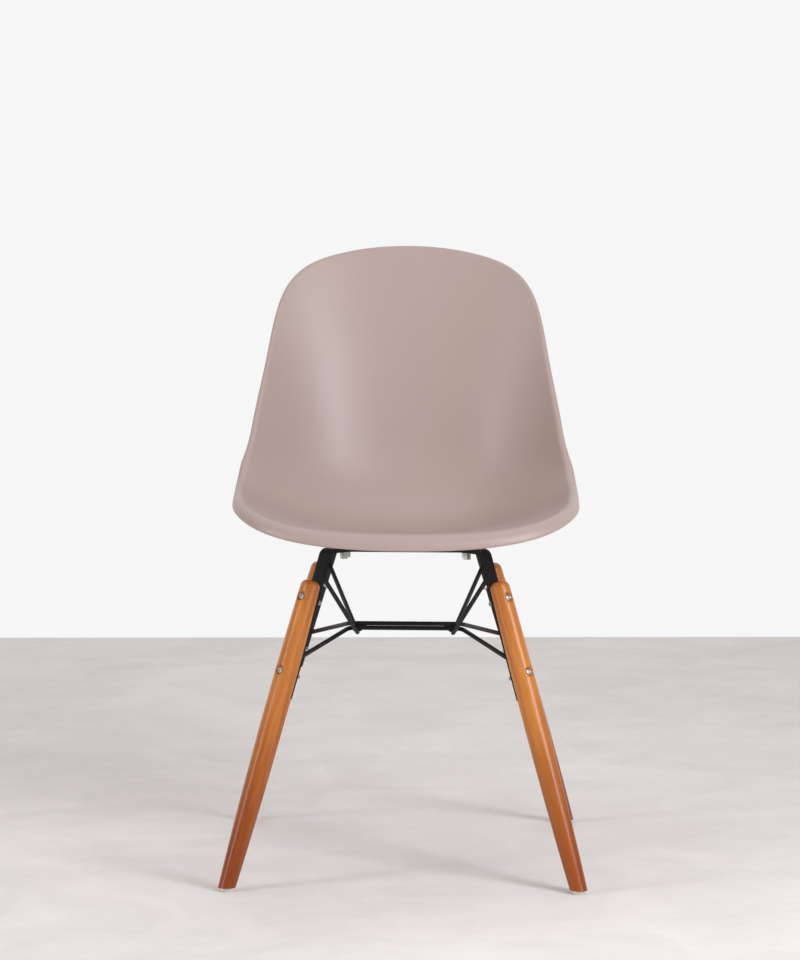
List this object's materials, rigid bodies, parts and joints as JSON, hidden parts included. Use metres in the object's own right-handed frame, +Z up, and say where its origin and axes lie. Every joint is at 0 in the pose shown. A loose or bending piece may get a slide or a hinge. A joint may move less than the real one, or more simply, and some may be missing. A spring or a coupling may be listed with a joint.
{
  "type": "moulded plastic shell chair",
  "caption": "Side chair with a one-piece moulded plastic bucket shell on splayed, tapered wood dowel legs joined by bent black metal straps and a wire brace.",
  "frame": {"origin": "on the floor, under the middle of the chair's overall box", "axes": "+Z up, -Y the way the sitter faces, +X the right-hand side of the view from the front"},
  "size_m": [0.4826, 0.5481, 0.8215],
  "materials": {
    "shell_plastic": "warm taupe moulded plastic, softly matte with a faint sheen",
    "leg_wood": "orange-brown stained hardwood, satin varnish",
    "black_metal": "black satin powder coat on steel",
    "steel": "zinc-plated steel fasteners",
    "insert_brass": "knurled brass insert, hidden in the boss",
    "glide_nylon": "white nylon"
  },
  "bodies": {
    "root": {"seat_shell": "shell_plastic", "front_strap": "black_metal", "rear_strap": "black_metal", "front_tie_rod": "black_metal", "rear_tie_rod": "black_metal", "left_side_brace": "black_metal", "right_side_brace": "black_metal", "front_left_seat_insert": "insert_brass", "front_left_seat_washer": "steel", "front_left_lock_washer": "steel", "front_left_seat_bolt": "steel", "front_right_seat_insert": "insert_brass", "front_right_seat_washer": "steel", "front_right_lock_washer": "steel", "front_right_seat_bolt": "steel", "rear_right_seat_insert": "insert_brass", "rear_right_seat_washer": "steel", "rear_right_lock_washer": "steel", "rear_right_seat_bolt": "steel", "rear_left_seat_insert": "insert_brass", "rear_left_seat_washer": "steel", "rear_left_lock_washer": "steel", "rear_left_seat_bolt": "steel", "front_left_leg": "leg_wood", "front_left_upper_leg_washer": "steel", "front_left_upper_leg_bolt": "steel", "front_left_lower_leg_washer": "steel", "front_left_lower_leg_bolt": "steel", "front_left_glide": "glide_nylon", "front_left_glide_nail": "steel", "front_right_leg": "leg_wood", "front_right_upper_leg_washer": "steel", "front_right_upper_leg_bolt": "steel", "front_right_lower_leg_washer": "steel", "front_right_lower_leg_bolt": "steel", "front_right_glide": "glide_nylon", "front_right_glide_nail": "steel", "rear_right_leg": "leg_wood", "rear_right_upper_leg_washer": "steel", "rear_right_upper_leg_bolt": "steel", "rear_right_lower_leg_washer": "steel", "rear_right_lower_leg_bolt": "steel", "rear_right_glide": "glide_nylon", "rear_right_glide_nail": "steel", "rear_left_leg": "leg_wood", "rear_left_upper_leg_washer": "steel", "rear_left_upper_leg_bolt": "steel", "rear_left_lower_leg_washer": "steel", "rear_left_lower_leg_bolt": "steel", "rear_left_glide": "glide_nylon", "rear_left_glide_nail": "steel"}
  },
  "joints": []
}
